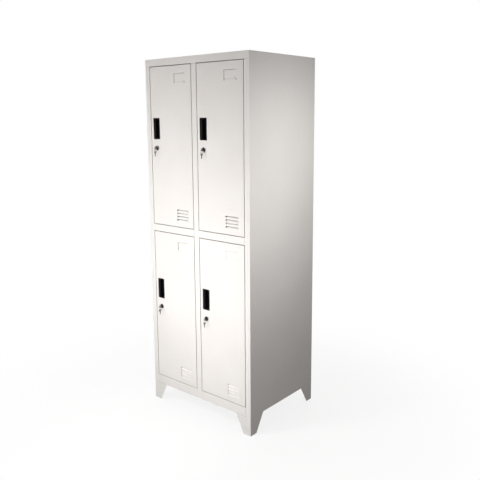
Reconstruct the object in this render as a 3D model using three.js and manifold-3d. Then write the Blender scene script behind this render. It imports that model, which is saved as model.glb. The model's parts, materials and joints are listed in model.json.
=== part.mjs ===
// Steel locker cabinet with four doors in two columns, on splayed sheet-metal legs.
// Millimetres. +X right, -Y front, +Z up, origin on the floor under the middle of the bounding box.
import * as THREE from 'three';
import { mergeVertices } from 'three/addons/utils/BufferGeometryUtils.js';
import Module from 'manifold-3d';

const wasm = await Module();
wasm.setup();

// ---------- driving dimensions ----------
const HEIGHT = 1850;
const WIDTH = 694;
const DEPTH = 534;
const LEG_HEIGHT = 94;
const HEADER = 36;
const MIDDLE_RAIL = 36;
const BOTTOM_RAIL = 47;
const SIDE_STILE = 31;
const CENTRE_STILE = 33;
const SIDE_FLANGE = 14; // front and rear returns of the side panels
const SHEET = 0.8;
const GAP = 0.3; // between welded or bolted pieces
const RETURN = 25; // depth of the stiles behind the front
const STILE_LIP = 9;
const RAIL_LIP = 12;
const TRAY_FLANGE = 15;

const DOOR_GAP = 3;
const DOOR_DEPTH = 18;
const DOOR_LIP = 12;
const HINGE_INSET = 5; // hinge axis from the door's front and hinge-side faces
const HINGE_ROD_R = 2;
const HINGE_HOLE_R = 2.2;
const HINGE_ROD_END = 5; // how far the rod runs past the rails' sheet

const HANDLE = { x: 44, belowTop: 314, width: 45, height: 108, lip: 4, plate: 2, depth: 14, wall: 1.5 };
const PULL = { grip: 12, beadR: 1.6 }; // the lip over the cup's left side, and the bead along its edge
const LOCK = {
  x: 46, belowTop: 414, bezelR: 12, bezel: 3.7, bodyR: 9, holeR: 9.3, plugR: 6, boreR: 6.3, length: 24,
};
const KEYWAY = { width: 2.2, height: 7.6, depth: 16 };
const KEY = { thick: 1.6, bowR: 9, bowY: -13.5, eyeR: 3, eyeY: -18, bladeHeight: 7, bladeEnd: 15 };
const SPARE = { bowR: 8, eyeDrop: 4.5, bladeWidth: 6, bladeLength: 14 };
const RING = { r: 8, wireR: 0.6 };
const CAM = { front: 26, thick: 2, width: 14, reach: 51 };

const CARD = { width: 76, height: 43, fromHingeSide: 44, belowTop: 42, sunk: 2.4, slit: 1.4 };
const LOUVRE = {
  count: 4, length: 80, height: 10, pitch: 16.5, x: 182, firstZ: 34, depth: 8.5, endGap: 2.5,
};
const STIFFENER = { x: 100, width: 40, depth: 11, lip: 10, endClearance: 40 };

const LEG = { sheet: 1.5, frontTop: 94, frontFoot: 44, sideTop: 100, sideFoot: 45 };
const COAT_ROD = { r: 8, wall: 1, belowCeiling: 60 };

// ---------- derived places ----------
const KEY_REACH = -KEY.eyeY + SPARE.bowR; // how far the hanging key stands out of the front
const FRONT = KEY_REACH - (DEPTH + KEY_REACH) / 2;
const BACK = FRONT + DEPTH;
const HALF = WIDTH / 2;
const OPENING_W = (WIDTH - 2 * SIDE_STILE - CENTRE_STILE) / 2;
const OPENING_H = (HEIGHT - LEG_HEIGHT - HEADER - MIDDLE_RAIL - BOTTOM_RAIL) / 2;
const FLOOR_LOW = LEG_HEIGHT + BOTTOM_RAIL;
const SHELF_LOW = FLOOR_LOW + OPENING_H;
const SHELF_TOP = SHELF_LOW + MIDDLE_RAIL;
const HEADER_LOW = SHELF_TOP + OPENING_H;
const INNER_SIDE = HALF - SHEET - GAP; // clear half-width between the side panels
const STILE_EDGE = HALF - SIDE_STILE;
const BACK_PANEL = BACK - SHEET - GAP; // rear face of the back panel
const INNER_BACK = BACK_PANEL - SHEET - GAP;
const HINGE_X = OPENING_W - DOOR_GAP - HINGE_INSET; // from the opening's left edge
const ROUND = 32; // facets on a round piece
const JOIN_TOLERANCE = 0.005;

// ---------- materials ----------
function finish(color, roughness, metalness) {
  return new THREE.MeshStandardMaterial({ color, roughness, metalness });
}

const POWDER_COAT = [0xe6e3de, 0.45, 0.0];
const BLACK_PLASTIC = [0x0c0c0d, 0.35, 0.0];
const CHROME = [0xc9cacb, 0.15, 1.0];
const ZINC_STEEL = [0xa5a6a6, 0.4, 1.0];
const NICKEL = [0xbdb9b0, 0.3, 1.0];

// ---------- solids ----------
// Corners are rounded to a micron, so that faces meant to lie in one plane lie in it exactly.
const snap = (value) => Math.round(value * 1000) / 1000;

function toSolid(geometry) {
  const corners = Float32Array.from(geometry.attributes.position.array, snap);
  const bare = new THREE.BufferGeometry();
  bare.setAttribute('position', new THREE.BufferAttribute(corners, 3));
  bare.setIndex(geometry.index);
  const merged = mergeVertices(bare);
  return new wasm.Manifold(new wasm.Mesh({
    numProp: 3,
    vertProperties: Float32Array.from(merged.attributes.position.array),
    triVerts: Uint32Array.from(merged.index.array),
  }));
}

// Faces that lie in one plane are joined before the corners are read back.
function toGeometry(solid) {
  const mesh = solid.asOriginal().simplify(JOIN_TOLERANCE).getMesh();
  const corners = Float32Array.from(mesh.vertProperties, snap);
  const geometry = new THREE.BufferGeometry();
  geometry.setAttribute('position', new THREE.BufferAttribute(corners, 3));
  geometry.setIndex(new THREE.BufferAttribute(Uint32Array.from(mesh.triVerts), 1));
  geometry.computeVertexNormals();
  return geometry;
}

// A box between two corners, given as a span along each axis.
function block([x0, x1], [y0, y1], [z0, z1]) {
  const geometry = new THREE.BoxGeometry(Math.abs(x1 - x0), Math.abs(y1 - y0), Math.abs(z1 - z0));
  return toSolid(geometry.translate((x0 + x1) / 2, (y0 + y1) / 2, (z0 + z1) / 2));
}

// A round bar along Y between y0 and y1.
function barY(r, x, z, y0, y1) {
  return toSolid(new THREE.CylinderGeometry(r, r, y1 - y0, ROUND).translate(x, (y0 + y1) / 2, z));
}

// A round bar along Z between z0 and z1.
function barZ(r, x, y, z0, z1, facets = ROUND / 2) {
  const geometry = new THREE.CylinderGeometry(r, r, z1 - z0, facets).rotateX(Math.PI / 2);
  return toSolid(geometry.translate(x, y, (z0 + z1) / 2));
}

// A disc lying in the YZ plane, centred on x = 0.
function discX(r, y, z, thick) {
  return toSolid(new THREE.CylinderGeometry(r, r, thick, ROUND).rotateZ(Math.PI / 2).translate(0, y, z));
}

// An outline of (y, z) points extruded along X between x0 and x1.
function prismX(outline, x0, x1) {
  const shape = new THREE.Shape(outline.map(([y, z]) => new THREE.Vector2(y, z)));
  const geometry = new THREE.ExtrudeGeometry(shape, { depth: x1 - x0, bevelEnabled: false });
  return toSolid(geometry.rotateX(Math.PI / 2).rotateZ(Math.PI / 2).translate(x0, 0, 0));
}

// An outline of (x, z) points extruded along Y between y0 and y1.
function prismY(outline, y0, y1) {
  const shape = new THREE.Shape(outline.map(([x, z]) => new THREE.Vector2(x, z)));
  const geometry = new THREE.ExtrudeGeometry(shape, { depth: y1 - y0, bevelEnabled: false });
  return toSolid(geometry.rotateX(Math.PI / 2).translate(0, y1, 0));
}

// A folded sheet: its outline of (x, y) points extruded along Z between z0 and z1.
function foldedSheet(outline, [z0, z1]) {
  const shape = new THREE.Shape(outline.map(([x, y]) => new THREE.Vector2(x, y)));
  const geometry = new THREE.ExtrudeGeometry(shape, { depth: z1 - z0, bevelEnabled: false });
  return toSolid(geometry.translate(0, 0, z0));
}

const fuse = (...solids) => solids.reduce((whole, next) => whole.add(next));
const cut = (solid, ...tools) => tools.reduce((whole, tool) => whole.subtract(tool), solid);
const both = (make) => fuse(make(-1), make(1)); // a feature on the left and on the right

const locker = new THREE.Group();

function addPart(parent, name, solid, look) {
  const mesh = new THREE.Mesh(toGeometry(solid), finish(...look));
  mesh.name = name;
  parent.add(mesh);
}

// ---------- carcass ----------
function sidePanel(side) {
  const outer = side * HALF;
  const inner = outer - side * SHEET;
  const flange = outer - side * SIDE_FLANGE;
  const outline = [
    [flange, FRONT], [outer, FRONT], [outer, BACK], [flange, BACK],
    [flange, BACK - SHEET], [inner, BACK - SHEET], [inner, FRONT + SHEET], [flange, FRONT + SHEET],
  ];
  return foldedSheet(outline, [LEG_HEIGHT, HEIGHT - SHEET - GAP]);
}

function sideStile(side) {
  const outer = side * (HALF - SIDE_FLANGE - GAP);
  const edge = side * STILE_EDGE;
  const inside = edge + side * SHEET;
  const lip = edge + side * STILE_LIP;
  const rear = FRONT + RETURN;
  const outline = [
    [outer, FRONT], [edge, FRONT], [edge, rear], [lip, rear],
    [lip, rear - SHEET], [inside, rear - SHEET], [inside, FRONT + SHEET], [outer, FRONT + SHEET],
  ];
  return foldedSheet(outline, [LEG_HEIGHT, HEADER_LOW - GAP]);
}

function centreStile() {
  const half = CENTRE_STILE / 2;
  const inside = half - SHEET;
  const lip = half - STILE_LIP;
  const rear = FRONT + RETURN;
  const rightHalf = [
    [half, FRONT], [half, rear], [lip, rear], [lip, rear - SHEET],
    [inside, rear - SHEET], [inside, FRONT + SHEET],
  ];
  const leftHalf = rightHalf.map(([x, y]) => [-x, y]).reverse();
  return foldedSheet([...rightHalf, ...leftHalf], [FLOOR_LOW + GAP, HEADER_LOW - GAP]);
}

function centrePartition() {
  const front = FRONT + RETURN + 1;
  const rise = [FLOOR_LOW + GAP, HEIGHT - SHEET - GAP];
  return block([-SHEET / 2, SHEET / 2], [front, INNER_BACK], rise);
}

// Folded tray: a plate with its front turned down to make the rail, and its other edges turned down.
function topPanel() {
  const top = HEIGHT;
  const skin = [top - SHEET, top];
  const down = [top - TRAY_FLANGE, top];
  const headerHalf = HALF - SIDE_FLANGE - GAP;
  const flangeStart = FRONT + 2 * SHEET + RAIL_LIP;
  return fuse(
    block([-HALF, HALF], [FRONT, BACK], skin),
    block([-headerHalf, headerHalf], [FRONT, FRONT + SHEET], [HEADER_LOW, top]),
    cut(
      block([-headerHalf, headerHalf], [FRONT, FRONT + RAIL_LIP], [HEADER_LOW, HEADER_LOW + SHEET]),
      hingeHoles(HEADER_LOW),
    ),
    both((side) => block([side * INNER_SIDE, side * (INNER_SIDE - SHEET)], [flangeStart, INNER_BACK], down)),
    partitionNotch(block([-INNER_SIDE, INNER_SIDE], [INNER_BACK - SHEET, INNER_BACK], down)),
  );
}

// Room for the centre partition in a flange that crosses it.
function partitionNotch(flange) {
  const half = SHEET / 2 + GAP;
  const clear = block([-half, half], [FRONT + RETURN, BACK], [LEG_HEIGHT, HEIGHT - SHEET]);
  return cut(flange, clear);
}

function bottomPanel() {
  const skin = [FLOOR_LOW - SHEET, FLOOR_LOW];
  const down = [FLOOR_LOW - TRAY_FLANGE, FLOOR_LOW];
  const railHalf = STILE_EDGE - GAP;
  const behindStile = FRONT + RETURN + GAP;
  return fuse(
    cut(block([-railHalf, railHalf], [FRONT, behindStile + 1], skin), hingeHoles(FLOOR_LOW)),
    block([-INNER_SIDE, INNER_SIDE], [behindStile, INNER_BACK], skin),
    block([-railHalf, railHalf], [FRONT, FRONT + SHEET], [LEG_HEIGHT, FLOOR_LOW]),
    block([-railHalf, railHalf], [FRONT, FRONT + RAIL_LIP], [LEG_HEIGHT, LEG_HEIGHT + SHEET]),
    both((side) => block([side * INNER_SIDE, side * (INNER_SIDE - SHEET)], [behindStile, INNER_BACK], down)),
    block([-INNER_SIDE, INNER_SIDE], [INNER_BACK - SHEET, INNER_BACK], down),
  );
}

function shelf(side) {
  const railInner = side * (CENTRE_STILE / 2 + GAP);
  const railOuter = side * (STILE_EDGE - GAP);
  const inner = side * (SHEET / 2 + GAP);
  const outer = side * INNER_SIDE;
  const skin = [SHELF_TOP - SHEET, SHELF_TOP];
  const down = [SHELF_TOP - TRAY_FLANGE, SHELF_TOP];
  const behindStile = FRONT + RETURN + GAP;
  const lipHeight = [SHELF_LOW, SHELF_LOW + SHEET];
  return fuse(
    cut(block([railInner, railOuter], [FRONT, behindStile + 1], skin), hingeHoles(SHELF_TOP)),
    block([inner, outer], [behindStile, INNER_BACK], skin),
    block([railInner, railOuter], [FRONT, FRONT + SHEET], [SHELF_LOW, SHELF_TOP]),
    cut(block([railInner, railOuter], [FRONT, FRONT + RAIL_LIP], lipHeight), hingeHoles(SHELF_LOW)),
    block([inner, inner + side * SHEET], [behindStile, INNER_BACK], down),
    block([outer, outer - side * SHEET], [behindStile, INNER_BACK], down),
    block([inner, outer], [INNER_BACK - SHEET, INNER_BACK], down),
  );
}

// The holes that both columns' hinge rods turn in, through the sheet near height z.
function hingeHoles(z) {
  return both((side) => {
    const x = openingLeft(side) + HINGE_X;
    return barZ(HINGE_HOLE_R, x, FRONT + HINGE_INSET, z - 2, z + 2);
  });
}

function backPanel() {
  const rise = [LEG_HEIGHT, HEIGHT - SHEET - GAP];
  return block([-INNER_SIDE, INNER_SIDE], [BACK_PANEL - SHEET, BACK_PANEL], rise);
}

function openingLeft(side) {
  return side < 0 ? -STILE_EDGE : CENTRE_STILE / 2;
}

// Angle leg of tapering sheet, with a plate on top that bolts to the carcass and a three-cornered foot plate.
function leg(side, end) {
  const cornerX = side * HALF;
  const cornerY = end < 0 ? FRONT : BACK;
  const top = LEG_HEIGHT - GAP;
  const inX = (distance) => cornerX - side * distance;
  const inY = (distance) => cornerY - end * distance;
  const face = [[inX(0), 0], [inX(LEG.frontFoot), 0], [inX(LEG.frontTop), top], [inX(0), top]];
  const flank = [[inY(0), 0], [inY(LEG.sideFoot), 0], [inY(LEG.sideTop), top], [inY(0), top]];
  const foot = [[inX(0), inY(0)], [inX(LEG.frontFoot), inY(0)], [inX(0), inY(LEG.sideFoot)]];
  const faceY = [inY(0), inY(LEG.sheet)].sort((a, b) => a - b);
  const flankX = [inX(0), inX(LEG.sheet)].sort((a, b) => a - b);
  return fuse(
    prismY(face, ...faceY),
    prismX(flank, ...flankX),
    block([inX(0), inX(LEG.frontTop)], [inY(0), inY(LEG.sideTop)], [top - LEG.sheet, top]),
    foldedSheet(foot, [0, LEG.sheet]),
  );
}

// Tube across one compartment, from the partition to the side panel.
function coatRod(side, ceiling) {
  const inner = side * (SHEET / 2 + GAP);
  const outer = side * INNER_SIDE;
  const length = Math.abs(outer - inner);
  const bore = COAT_ROD.r - COAT_ROD.wall;
  const profile = [[bore, 0], [COAT_ROD.r, 0], [COAT_ROD.r, length], [bore, length], [bore, 0]];
  const geometry = new THREE.LatheGeometry(profile.map(([r, h]) => new THREE.Vector2(r, h)), ROUND / 2);
  geometry.rotateZ(-Math.PI / 2);
  geometry.translate(Math.min(inner, outer), (FRONT + BACK) / 2, ceiling - COAT_ROD.belowCeiling);
  return toSolid(geometry);
}

// ---------- door, in the frame of its opening's lower left corner at the cabinet's front ----------
const DOOR_X = [DOOR_GAP, OPENING_W - DOOR_GAP];
const DOOR_Z = [DOOR_GAP, OPENING_H - DOOR_GAP];
const HANDLE_Z = OPENING_H - HANDLE.belowTop;
const LOCK_Z = OPENING_H - LOCK.belowTop;

function doorPanel() {
  const [x0, x1] = DOOR_X;
  const [z0, z1] = DOOR_Z;
  const depth = [0, DOOR_DEPTH];
  const rear = [DOOR_DEPTH - SHEET, DOOR_DEPTH];
  const pan = fuse(
    block(DOOR_X, [0, SHEET], DOOR_Z),
    block([x0, x0 + SHEET], depth, DOOR_Z),
    block([x1 - SHEET, x1], depth, DOOR_Z),
    block(DOOR_X, depth, [z0, z0 + SHEET]),
    block(DOOR_X, depth, [z1 - SHEET, z1]),
    block([x0, x0 + DOOR_LIP], rear, DOOR_Z),
    block([x1 - DOOR_LIP, x1], rear, DOOR_Z),
  );
  const rodPath = barZ(HINGE_HOLE_R, HINGE_X, HINGE_INSET, -1, OPENING_H + 1);
  const lockHole = barY(LOCK.holeR, LOCK.x, LOCK_Z, -1, SHEET + 1);
  return addLouvres(addCardRecess(cut(pan, rodPath, lockHole, handleHole())));
}

function handleHole() {
  const halfW = HANDLE.width / 2 - HANDLE.lip + GAP;
  const halfH = HANDLE.height / 2 - HANDLE.lip + GAP;
  return block([HANDLE.x - halfW, HANDLE.x + halfW], [-1, SHEET + 1], [HANDLE_Z - halfH, HANDLE_Z + halfH]);
}

// The number card's place: a pressed rectangle, sheared from the sheet along its top and its left side.
function addCardRecess(door) {
  const right = OPENING_W - CARD.fromHingeSide;
  const top = OPENING_H - CARD.belowTop;
  const press = (inset, y0, y1) => block(
    [right - CARD.width + inset, right - inset],
    [y0, y1],
    [top - CARD.height + inset, top - inset],
  );
  const left = right - CARD.width;
  const through = [-1, CARD.sunk + SHEET + 1];
  const shear = fuse(
    block([left, left + CARD.slit], through, [top - CARD.height, top]),
    block([left, right], through, [top - CARD.slit, top]),
  );
  return cut(door.add(press(0, SHEET / 2, CARD.sunk + SHEET)), press(SHEET, -1, CARD.sunk), shear);
}

// Air slots: the sheet is cut along each slot's top and ends, and the flap is bent inwards.
function addLouvres(door) {
  const right = LOUVRE.x + LOUVRE.length;
  let pressed = door;
  for (let row = 0; row < LOUVRE.count; row += 1) {
    const z = LOUVRE.firstZ + row * LOUVRE.pitch;
    const top = z + LOUVRE.height;
    const flap = [
      [0, z - 1], [0, z], [LOUVRE.depth - SHEET, top], [LOUVRE.depth, top], [SHEET, z], [SHEET, z - 1],
    ];
    pressed = pressed.subtract(block([LOUVRE.x, right], [-1, SHEET + 1], [z, top]));
    pressed = pressed.add(prismX(flap, LOUVRE.x + LOUVRE.endGap, right - LOUVRE.endGap));
  }
  return pressed;
}

// Hat-section channel spot-welded up the inside of the door.
function doorStiffener() {
  const front = SHEET + GAP;
  const back = front + STIFFENER.depth;
  const middle = STIFFENER.x + STIFFENER.width / 2;
  const half = STIFFENER.width / 2;
  const wall = middle + half;
  const rightHalf = [
    [wall, back], [wall, front + SHEET], [wall + STIFFENER.lip, front + SHEET],
    [wall + STIFFENER.lip, front], [wall - SHEET, front], [wall - SHEET, back - SHEET],
  ];
  const leftHalf = rightHalf.map(([x, y]) => [2 * middle - x, y]).reverse();
  const rise = [STIFFENER.endClearance, OPENING_H - STIFFENER.endClearance];
  return foldedSheet([...rightHalf, ...leftHalf], rise);
}

function hingeRod() {
  return barZ(HINGE_ROD_R, HINGE_X, HINGE_INSET, -HINGE_ROD_END, OPENING_H + HINGE_ROD_END);
}

// Recessed pull: a rim plate on the door's face, a cup behind it and a gripping lip over the cup's left half.
function handle() {
  const span = (size, inset) => [-size / 2 + inset, size / 2 - inset];
  const at = ([a, b], centre) => [a + centre, b + centre];
  const wide = (inset) => at(span(HANDLE.width, inset), HANDLE.x);
  const tall = (inset) => at(span(HANDLE.height, inset), HANDLE_Z);
  const rim = [-GAP - HANDLE.plate, -GAP];
  const inner = HANDLE.lip + HANDLE.wall;
  const cup = cut(
    fuse(
      block(wide(0), rim, tall(0)),
      block(wide(HANDLE.lip), [-GAP - 0.5, HANDLE.depth], tall(HANDLE.lip)),
    ),
    block(wide(inner), [-HANDLE.plate - 1, HANDLE.depth - HANDLE.wall], tall(inner)),
  );
  const [left] = wide(inner);
  const gripEdge = left + PULL.grip;
  const grip = fuse(
    block([left - 1, gripEdge], rim, tall(inner - 1)),
    barZ(PULL.beadR, gripEdge, -GAP - 1, ...tall(inner - 1)),
  );
  return cup.add(grip);
}

function lockBarrel() {
  const body = fuse(
    barY(LOCK.bezelR, LOCK.x, LOCK_Z, -GAP - LOCK.bezel, -GAP),
    barY(LOCK.bodyR, LOCK.x, LOCK_Z, -GAP - 1, LOCK.length),
  );
  return cut(body, barY(LOCK.boreR, LOCK.x, LOCK_Z, -10, LOCK.length + 1));
}

// ---------- lock and keys, in the frame of the lock's axis at the cabinet's front ----------
const PLUG_FRONT = -GAP - LOCK.bezel + 0.6;

function lockPlug() {
  const plug = barY(LOCK.plugR, 0, 0, PLUG_FRONT, CAM.front - GAP);
  const half = [KEYWAY.width / 2, KEYWAY.height / 2];
  return cut(plug, block([-half[0], half[0]], [PLUG_FRONT - 1, KEYWAY.depth], [-half[1], half[1]]));
}

// The bolt arm: hangs down when unlocked, and turns to the left behind the stile to lock.
function lockCam() {
  const y = [CAM.front, CAM.front + CAM.thick];
  const half = CAM.width / 2;
  return fuse(
    block([-half, half], y, [-(CAM.reach - half), 0]),
    barY(half, 0, -(CAM.reach - half), ...y),
    barY(half, 0, 0, ...y),
  );
}

function key() {
  const bow = discX(KEY.bowR, KEY.bowY, 0, KEY.thick);
  const half = [KEY.thick / 2, KEY.bladeHeight / 2];
  const blade = block([-half[0], half[0]], [KEY.bowY, KEY.bladeEnd], [-half[1], half[1]]);
  const eye = discX(KEY.eyeR, KEY.eyeY, 0, KEY.thick + 2);
  return cut(fuse(bow, blade), eye);
}

function keyRing() {
  const ring = new THREE.TorusGeometry(RING.r, RING.wireR, 8, ROUND);
  return toSolid(ring.rotateX(Math.PI / 2).translate(0, KEY.eyeY, -RING.r));
}

function spareKey() {
  const eyeZ = -2 * RING.r;
  const bowZ = eyeZ - SPARE.eyeDrop;
  const half = SPARE.bladeWidth / 2;
  const tip = bowZ - SPARE.bowR - SPARE.bladeLength;
  const bow = discX(SPARE.bowR, KEY.eyeY, bowZ, KEY.thick);
  const blade = block([-KEY.thick / 2, KEY.thick / 2], [KEY.eyeY - half, KEY.eyeY + half], [tip, bowZ]);
  return cut(fuse(bow, blade), discX(KEY.eyeR, KEY.eyeY, eyeZ, KEY.thick + 2));
}

function addDoor(name, x, z) {
  const opening = new THREE.Group();
  opening.position.set(x, FRONT, z);
  locker.add(opening);
  addPart(opening, `${name}_door_panel`, doorPanel(), POWDER_COAT);
  addPart(opening, `${name}_door_stiffener`, doorStiffener(), POWDER_COAT);
  addPart(opening, `${name}_hinge_rod`, hingeRod(), ZINC_STEEL);
  addPart(opening, `${name}_handle`, handle(), BLACK_PLASTIC);
  addPart(opening, `${name}_lock_barrel`, lockBarrel(), CHROME);

  const lock = new THREE.Group();
  lock.position.set(LOCK.x, 0, LOCK_Z);
  opening.add(lock);
  addPart(lock, `${name}_lock_plug`, lockPlug(), CHROME);
  addPart(lock, `${name}_lock_cam`, lockCam(), ZINC_STEEL);
  addPart(lock, `${name}_key`, key(), NICKEL);
  addPart(lock, `${name}_key_ring`, keyRing(), ZINC_STEEL);
  addPart(lock, `${name}_spare_key`, spareKey(), NICKEL);
}

// ---------- assembly ----------
addPart(locker, 'top_panel', topPanel(), POWDER_COAT);
addPart(locker, 'bottom_panel', bottomPanel(), POWDER_COAT);
addPart(locker, 'back_panel', backPanel(), POWDER_COAT);
addPart(locker, 'centre_partition', centrePartition(), POWDER_COAT);
addPart(locker, 'centre_stile', centreStile(), POWDER_COAT);

for (const [sideName, side] of [['left', -1], ['right', 1]]) {
  addPart(locker, `${sideName}_side_panel`, sidePanel(side), POWDER_COAT);
  addPart(locker, `${sideName}_stile`, sideStile(side), POWDER_COAT);
  addPart(locker, `${sideName}_shelf`, shelf(side), POWDER_COAT);
  addPart(locker, `front_${sideName}_leg`, leg(side, -1), POWDER_COAT);
  addPart(locker, `rear_${sideName}_leg`, leg(side, 1), POWDER_COAT);
  addPart(locker, `upper_${sideName}_coat_rod`, coatRod(side, HEIGHT), ZINC_STEEL);
  addPart(locker, `lower_${sideName}_coat_rod`, coatRod(side, SHELF_TOP), ZINC_STEEL);
  addDoor(`upper_${sideName}`, openingLeft(side), SHELF_TOP);
  addDoor(`lower_${sideName}`, openingLeft(side), FLOOR_LOW);
}

export default locker;
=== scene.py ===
"""The looks of a four-door steel locker cabinet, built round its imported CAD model.

Every folded sheet is rebuilt with round bends and pressed features, and the pulls, locks, keys and legs
as finished pieces. Lengths are in metres, in the CAD's own frame: -Y is the front and Z is up."""
import json
import math
from collections import namedtuple

import bmesh
import bpy
from mathutils import Matrix, Vector


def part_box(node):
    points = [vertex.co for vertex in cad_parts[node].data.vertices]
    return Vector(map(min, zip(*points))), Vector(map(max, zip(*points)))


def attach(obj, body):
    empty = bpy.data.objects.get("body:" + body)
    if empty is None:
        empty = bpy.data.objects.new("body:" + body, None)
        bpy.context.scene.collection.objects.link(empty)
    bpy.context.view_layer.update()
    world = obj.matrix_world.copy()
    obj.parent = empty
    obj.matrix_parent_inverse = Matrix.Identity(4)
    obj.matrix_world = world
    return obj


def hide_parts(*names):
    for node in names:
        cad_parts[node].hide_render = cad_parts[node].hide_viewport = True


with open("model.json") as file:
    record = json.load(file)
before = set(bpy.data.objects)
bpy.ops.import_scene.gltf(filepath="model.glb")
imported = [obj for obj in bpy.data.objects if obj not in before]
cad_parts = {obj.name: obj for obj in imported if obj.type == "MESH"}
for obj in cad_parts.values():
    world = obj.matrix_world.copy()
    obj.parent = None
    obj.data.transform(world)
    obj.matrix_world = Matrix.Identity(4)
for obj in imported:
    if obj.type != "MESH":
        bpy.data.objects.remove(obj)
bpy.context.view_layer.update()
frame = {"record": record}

MM = 0.001
SHEET = 0.8 * MM
BEND = 1.6 * MM  # outer radius of the folds
BEND_STEPS = 5
GRID = 60 * MM  # the longest a face of a flat sheet gets
SMOOTH_ANGLE = math.radians(33)
FREE = 0.3 * MM  # clearance between pieces that touch
X, Y, Z = Vector((1, 0, 0)), Vector((0, 1, 0)), Vector((0, 0, 1))

SIDES = {"left": -1, "right": 1}
DOORS = [f"{row}_{column}" for row in ("upper", "lower") for column in SIDES]

HOME = {node: body for body, nodes in frame["record"]["behaviour"]["bodies"].items() for node in nodes}
SLOT = {row["node"]: row["material_slot"] for row in frame["record"]["subparts"]}


# ---------- camera ----------
CAMERA_PLACE = Vector((2.099, -2.389, 1.558))
CAMERA_HEADING = math.radians(40.3)  # turned left from +Y
CAMERA_TILT = math.radians(-9.35)  # up from level
CAMERA_ROLL = math.radians(-0.45)
CAMERA_LENS = 45.28
CAMERA_SHIFT_Y = -0.05


def make_camera():
    data = bpy.data.cameras.new("camera")
    data.sensor_width = 36
    data.lens = CAMERA_LENS
    data.shift_y = CAMERA_SHIFT_Y
    camera = bpy.data.objects.new("camera", data)
    camera.matrix_world = (
        Matrix.Translation(CAMERA_PLACE)
        @ Matrix.Rotation(CAMERA_HEADING, 4, "Z")
        @ Matrix.Rotation(math.pi / 2 + CAMERA_TILT, 4, "X")
        @ Matrix.Rotation(CAMERA_ROLL, 4, "Z")
    )
    bpy.context.scene.collection.objects.link(camera)
    bpy.context.scene.camera = camera


# ---------- node helpers ----------
class Nodes:
    """The node tree of a world or a material: its nodes are made and linked by name."""

    def __init__(self, owner):
        owner.use_nodes = True
        self.owner = owner
        self.tree = owner.node_tree

    def node(self, kind, settings=None, **inputs):
        made = self.tree.nodes.new(kind)
        for key, value in (settings or {}).items():
            setattr(made, key, value)
        for key, value in inputs.items():
            self.feed(made.inputs[key.replace("_", " ")], value)
        return made

    def feed(self, socket, value):
        if isinstance(value, bpy.types.NodeSocket):
            self.tree.links.new(value, socket)
        else:
            socket.default_value = value

    def output(self, name, factor, first, second):
        """Mixes two shaders and puts the mixture out through the named node."""
        made = self.node("ShaderNodeMixShader")
        for socket, source in zip(made.inputs, (factor, first, second)):
            self.feed(socket, source)
        self.feed(self.tree.nodes[name].inputs["Surface"], made.outputs[0])


class Shader(Nodes):
    """A material under construction."""

    def __init__(self, name):
        super().__init__(bpy.data.materials.new(name))
        self.surface = self.tree.nodes["Principled BSDF"]

    def place(self):
        """Coordinates in metres: every piece's object sits at the origin of the cabinet's frame."""
        return self.node("ShaderNodeTexCoord").outputs["Object"]

    def noise(self, scale, detail=2.0, roughness=0.5, vector=None):
        made = self.node("ShaderNodeTexNoise", Scale=scale, Detail=detail, Roughness=roughness)
        self.feed(made.inputs["Vector"], vector or self.place())
        return made.outputs["Fac"]

    def stretched(self, scale):
        """The place coordinates scaled along each axis, for grain that runs one way."""
        mapping = self.node("ShaderNodeMapping", Scale=scale)
        self.feed(mapping.inputs["Vector"], self.place())
        return mapping.outputs["Vector"]

    def ramp(self, factor, *stops):
        """Maps a factor to a colour or a grey value through (position, value) stops."""
        made = self.node("ShaderNodeValToRGB", Fac=factor)
        points = made.color_ramp.elements
        while len(points) < len(stops):
            points.new(1.0)
        for point, (position, value) in zip(points, stops):
            point.position = position
            point.color = (*value, 1) if isinstance(value, tuple) else (value, value, value, 1)
        return made.outputs["Color"]

    def mix(self, factor, a, b):
        made = self.node("ShaderNodeMix", {"data_type": "RGBA"})
        for socket, value in zip((made.inputs[0], made.inputs[6], made.inputs[7]), (factor, a, b)):
            self.feed(socket, (*value, 1) if isinstance(value, tuple) and len(value) == 3 else value)
        return made.outputs[2]

    def math(self, operation, a, b):
        made = self.node("ShaderNodeMath", {"operation": operation})
        self.feed(made.inputs[0], a)
        self.feed(made.inputs[1], b)
        return made.outputs[0]

    def bump(self, height, distance, strength, normal=None):
        made = self.node("ShaderNodeBump", Height=height, Distance=distance, Strength=strength)
        if normal is not None:
            self.feed(made.inputs["Normal"], normal)
        return made.outputs["Normal"]

    def crevice_shaded(self, tone, reach, share, shade_tone, full_shade, unshaded):
        """Paints shade into crevices: darkens a tone towards a shade colour where ambient occlusion finds
        surfaces near. Of what is within reach, the open share is at most `full_shade` where the painted
        shade is darkest, and at least `unshaded` where there is none."""
        near = self.node("ShaderNodeAmbientOcclusion", {"samples": 6}, Distance=reach).outputs["AO"]
        crevice = self.ramp(near, (full_shade, 1.0), (unshaded, 0.0))
        return self.mix(self.math("MULTIPLY", crevice, share), tone, shade_tone)

    def finish(self, **inputs):
        for key, value in inputs.items():
            self.feed(self.surface.inputs[key.replace("_", " ")], value)
        return self.owner


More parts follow.
